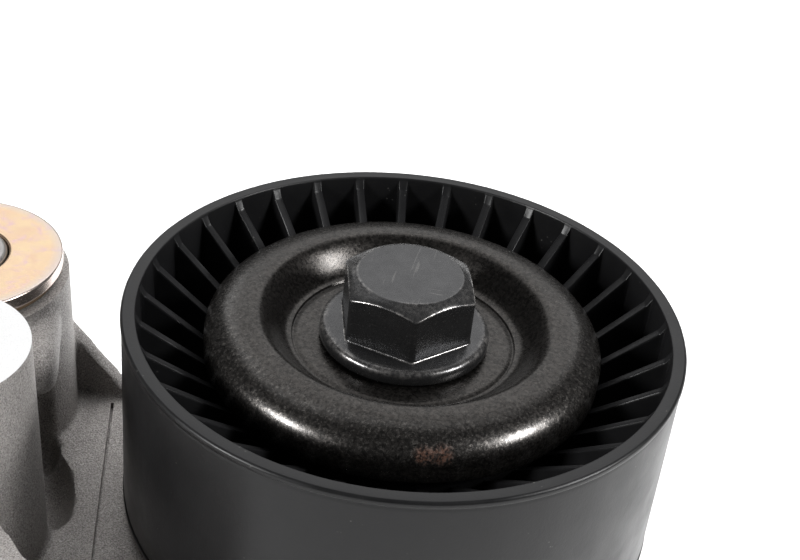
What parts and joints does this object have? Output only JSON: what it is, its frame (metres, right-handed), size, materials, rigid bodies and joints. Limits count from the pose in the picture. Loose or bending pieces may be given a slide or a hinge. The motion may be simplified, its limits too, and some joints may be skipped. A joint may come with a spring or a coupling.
{
  "type": "belt tensioner",
  "caption": "Automatic belt tensioner: smooth idler pulley with a dust cover on a sprung cast arm that pivots on a flanged base.",
  "frame": {"origin": "on the arm's pivot axis, in the plane of the base's mounting face", "axes": "+Z along the pivot axis, away from the mounting face and towards the bolt's head; +X from the pivot axis to the pulley axis with the arm on its free stop"},
  "size_m": [0.1334, 0.1047, 0.0763],
  "materials": {
    "black_nylon": "satin black glass-filled nylon, moulded",
    "seal_rubber": "matt black",
    "bearing_steel": "ground bright",
    "cage_nylon": "natural nylon",
    "cast_aluminium": "shot-blasted casting, satin, machined bright on the column's end",
    "cast_aluminium_base": "shot-blasted casting, satin",
    "plain_steel": "plain grey, turned",
    "pressed_steel": "dark phosphated and oiled, scuffed",
    "bolt_steel": "black phosphated, edges worn bright",
    "bush_polymer": "brown bearing polymer",
    "plated_steel": "yellow zinc, iridescent",
    "spring_steel": "black phosphated spring wire"
  },
  "bodies": {
    "base": {"tensioner_base": "cast_aluminium_base", "pivot_shaft": "plain_steel", "pivot_washer": "plated_steel", "thrust_washer": "plain_steel", "spring_seat": "bush_polymer", "damping_ring": "bush_polymer", "torsion_spring": "spring_steel"},
    "arm": {"tensioner_arm": "cast_aluminium", "bearing_inner_ring": "bearing_steel", "bearing_bush": "plain_steel", "rear_shield": "pressed_steel", "dust_cover": "pressed_steel", "pulley_bolt": "bolt_steel", "pivot_bush_upper": "bush_polymer", "pivot_bush_lower": "bush_polymer", "damper_sleeve": "bush_polymer"},
    "pulley": {"pulley_wheel": "black_nylon", "bearing_outer_ring": "bearing_steel", "bearing_seal_front": "seal_rubber", "bearing_seal_rear": "seal_rubber"},
    "ball_set": {"bearing_cage": "cage_nylon", "bearing_ball_1": "bearing_steel", "bearing_ball_2": "bearing_steel", "bearing_ball_3": "bearing_steel", "bearing_ball_4": "bearing_steel", "bearing_ball_5": "bearing_steel", "bearing_ball_6": "bearing_steel", "bearing_ball_7": "bearing_steel", "bearing_ball_8": "bearing_steel"}
  },
  "joints": [
    {"name": "arm_swing", "type": "hinge", "parent": "base", "child": "arm", "pos_m": [0, 0, 0.039], "axis": [0, 0, 1], "range_deg": [0, 35], "stiffness_Nm_per_rad": 0.8, "springref_deg": -34.38, "deforming": ["torsion_spring"]},
    {"name": "pulley_spin", "type": "hinge", "parent": "arm", "child": "pulley", "pos_m": [0.0625, 0, 0.0588], "axis": [0, 0, 1], "continuous": true},
    {"name": "ball_set_spin", "type": "hinge", "parent": "arm", "child": "ball_set", "pos_m": [0.0625, 0, 0.0588], "axis": [0, 0, 1], "continuous": true}
  ],
  "couplings": [
    {"joint": "ball_set_spin", "follows": "pulley_spin", "ratio": 0.6184}
  ]
}
